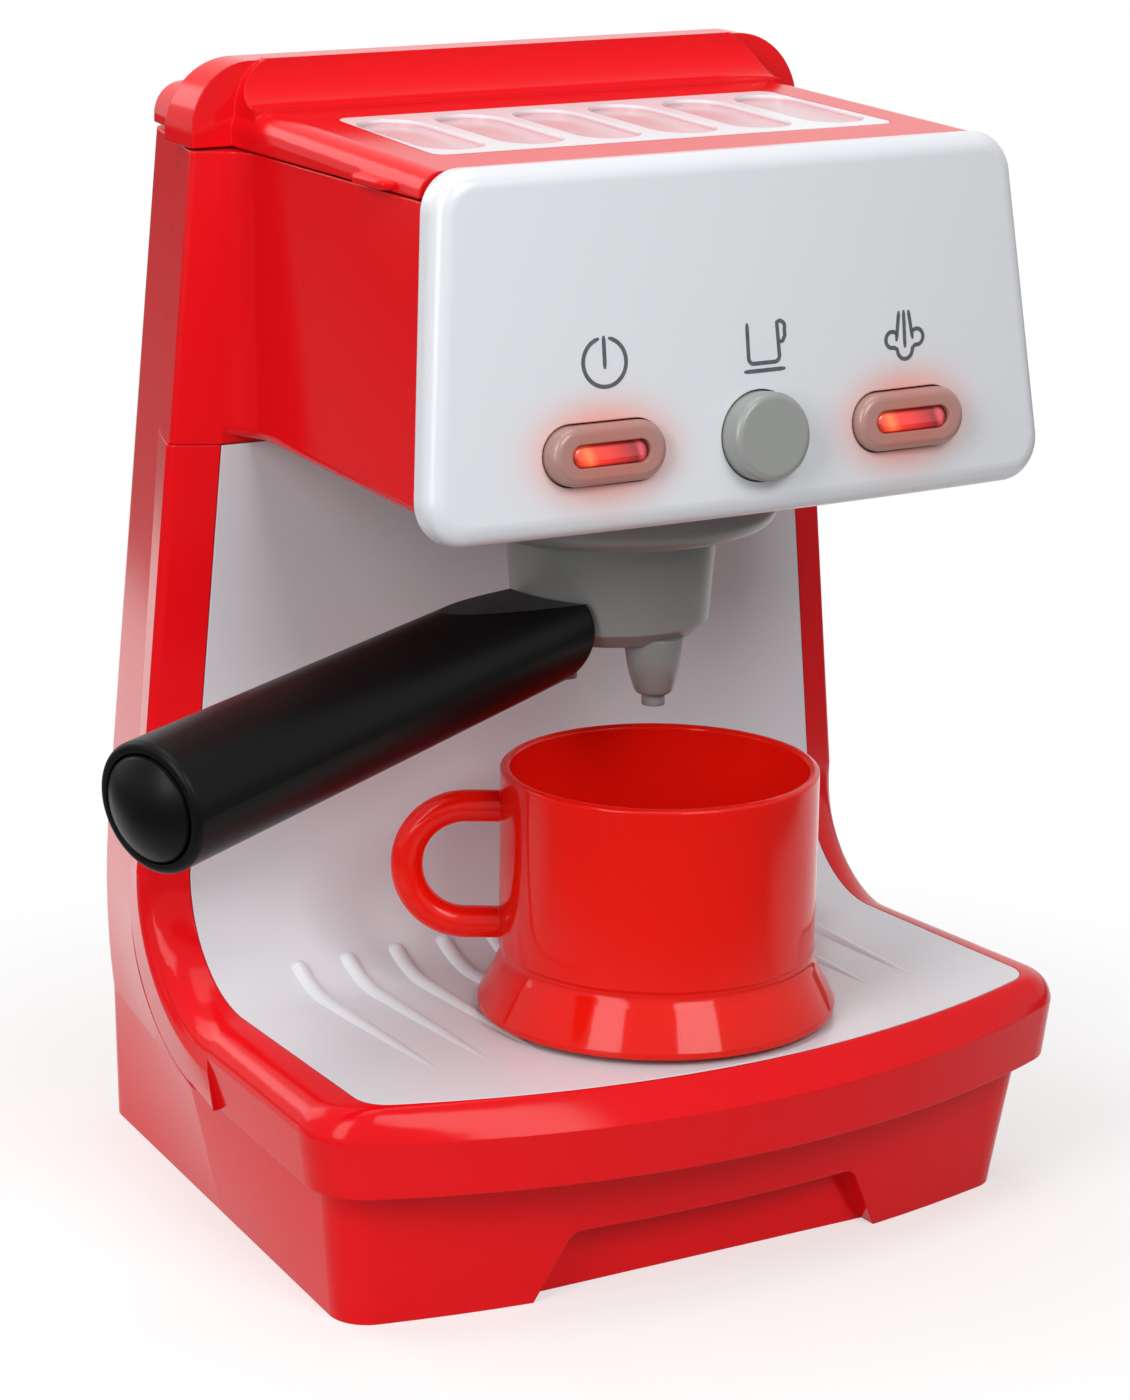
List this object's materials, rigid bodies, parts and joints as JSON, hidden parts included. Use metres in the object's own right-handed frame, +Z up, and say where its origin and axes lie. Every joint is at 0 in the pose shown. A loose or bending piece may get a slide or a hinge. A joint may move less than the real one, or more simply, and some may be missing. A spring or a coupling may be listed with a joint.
{
  "type": "toy coffee maker",
  "caption": "Toy espresso machine with a hinged lid, three push buttons, a turning portafilter and a cup.",
  "frame": {"origin": "underside of the base, on the table, at the middle of the machine's width", "axes": "+X to the right as seen from the front, +Y to the back, +Z up"},
  "size_m": [0.2164, 0.163, 0.2362],
  "materials": {
    "red_gloss": "glossy moulded",
    "white_gloss": "glossy moulded",
    "grey_plastic": "satin moulded",
    "grey_button": "glossy moulded",
    "red_lens": "translucent, polished",
    "dark_handle": "satin moulded",
    "cup_red": "glossy, slightly translucent",
    "seal_rubber": "matte",
    "board_green": "lacquered",
    "black_plastic": "moulded",
    "battery_wrap": "printed sleeve, plain",
    "spring_steel": "plain",
    "screw_steel": "zinc plated",
    "speaker_paper": "matte",
    "lead_red": "flexible sleeve",
    "lead_black": "flexible sleeve"
  },
  "bodies": {
    "casing": {"rear_shell": "red_gloss", "front_shell": "red_gloss", "splash_panel": "white_gloss", "head_housing": "red_gloss", "fascia": "white_gloss", "group_head": "grey_plastic", "group_seal": "seal_rubber", "group_head_screws": "screw_steel", "button_carrier": "black_plastic", "carrier_screws": "screw_steel", "circuit_board": "board_green", "board_screws": "screw_steel", "tact_switches": "black_plastic", "button_lamps": "red_lens", "sound_chip": "black_plastic", "battery_box": "black_plastic", "batteries": "battery_wrap", "battery_contacts": "spring_steel", "battery_door": "red_gloss", "battery_door_screw": "screw_steel", "speaker_frame": "spring_steel", "speaker_cone": "speaker_paper", "speaker_magnet": "spring_steel", "speaker_screws": "screw_steel", "case_screws": "screw_steel", "base_screws": "screw_steel", "lid_hinge_pins": "screw_steel", "power_spring": "spring_steel", "brew_spring": "spring_steel", "steam_spring": "spring_steel", "battery_lead_red": "lead_red", "battery_lead_black": "lead_black", "speaker_lead_red": "lead_red", "speaker_lead_black": "lead_black"},
    "lid": {"lid_cover": "red_gloss", "cup_warmer_grille": "white_gloss"},
    "portafilter": {"portafilter_body": "grey_plastic", "portafilter_handle": "dark_handle", "handle_end_cap": "dark_handle", "portafilter_screw": "screw_steel"},
    "cup": {"cup": "cup_red"},
    "power_button": {"power_button": "grey_button", "power_button_lens": "red_lens"},
    "brew_button": {"brew_button": "grey_button"},
    "steam_button": {"steam_button": "grey_button", "steam_button_lens": "red_lens"}
  },
  "joints": [
    {"name": "lid_hinge", "type": "hinge", "parent": "casing", "child": "lid", "pos_m": [0, 0.0686, 0.2196], "axis": [-1, 0, 0], "range_deg": [0, 85]},
    {"name": "portafilter_turn", "type": "hinge", "parent": "casing", "child": "portafilter", "pos_m": [0, -0.017, 0.13], "axis": [0, 0, 1], "range_deg": [0, 70]},
    {"name": "cup_lift_out", "type": "slide", "parent": "casing", "child": "cup", "axis": [0, -1, 0], "range_m": [0, 0.12]},
    {"name": "power_button_press", "type": "slide", "parent": "casing", "child": "power_button", "axis": [0, 0.9924, -0.123], "range_m": [0, 0.002], "stiffness_N_per_m": 300, "deforming": ["power_spring"]},
    {"name": "brew_button_press", "type": "slide", "parent": "casing", "child": "brew_button", "axis": [0, 0.9924, -0.123], "range_m": [0, 0.002], "stiffness_N_per_m": 300, "deforming": ["brew_spring"]},
    {"name": "steam_button_press", "type": "slide", "parent": "casing", "child": "steam_button", "axis": [0, 0.9924, -0.123], "range_m": [0, 0.002], "stiffness_N_per_m": 300, "deforming": ["steam_spring"]}
  ]
}
